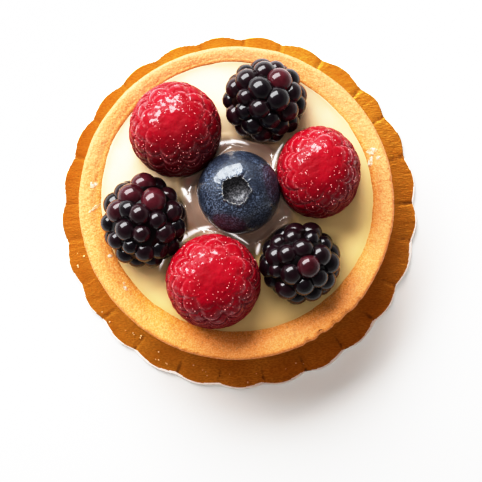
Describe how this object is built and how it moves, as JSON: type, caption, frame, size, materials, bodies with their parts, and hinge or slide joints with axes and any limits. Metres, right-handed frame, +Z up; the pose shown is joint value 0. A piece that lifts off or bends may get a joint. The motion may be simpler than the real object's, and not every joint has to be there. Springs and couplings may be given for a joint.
{
  "type": "fruit tart",
  "caption": "Small round tart with a smooth pastry shell, pastry cream and a ring of fresh berries, standing on a scalloped gold card.",
  "frame": {"origin": "middle of the card's underside, on the surface the tart stands on", "axes": "+Z straight up through the middle of the card, +Y from the middle towards the bramble on the thinner side of the rim, +X to the right as seen from above with +Y up the view"},
  "size_m": [0.0798, 0.0797, 0.034],
  "materials": {
    "gold_card": "satin gold foil laminated on thin card, fine brushed grain, pressed flutes round the rim",
    "baked_crust": "baked sweet pastry, golden and fine-grained, paler at the outer lip",
    "pastry_cream": "smooth pale yellow pastry cream with a soft sheen",
    "raspberry_red": "deep red beaded raspberry under a clear glaze",
    "bramble_black": "near-black purple bramble with large glossy beads",
    "blueberry_blue": "dark blue skin with a dusty bloom under a clear glaze"
  },
  "bodies": {
    "root": {"gold_card": "gold_card", "pastry_shell": "baked_crust", "pastry_cream": "pastry_cream", "raspberry_1": "raspberry_red", "raspberry_2": "raspberry_red", "raspberry_3": "raspberry_red", "bramble_1": "bramble_black", "bramble_2": "bramble_black", "bramble_3": "bramble_black", "blueberry": "blueberry_blue"}
  },
  "joints": []
}
